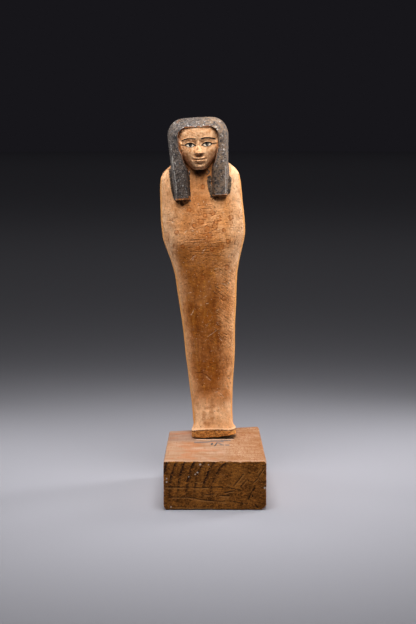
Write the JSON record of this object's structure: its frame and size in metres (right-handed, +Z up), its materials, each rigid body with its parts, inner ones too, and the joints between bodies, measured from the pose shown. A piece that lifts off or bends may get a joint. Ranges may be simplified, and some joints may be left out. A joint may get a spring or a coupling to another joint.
{
  "type": "osirid figure",
  "caption": "Carved wooden mummiform figure with a plain dark wig, lappets and painted face, standing by its tenon in a block base.",
  "frame": {"origin": "centre of the base's underside: middle of its width, and halfway along its mean depth", "axes": "+Z up, the figure's front towards -Y, +X to the right of someone facing it"},
  "size_m": [0.1524, 0.2477, 0.5438],
  "materials": {
    "figure_wood": "matt ochre-washed wood, with black wig paint and flesh-coloured face paint, worn",
    "base_wood": "matt bare wood, pale on top and dark brown on the end grain"
  },
  "bodies": {
    "root": {"figure": "figure_wood", "base": "base_wood"}
  },
  "joints": []
}
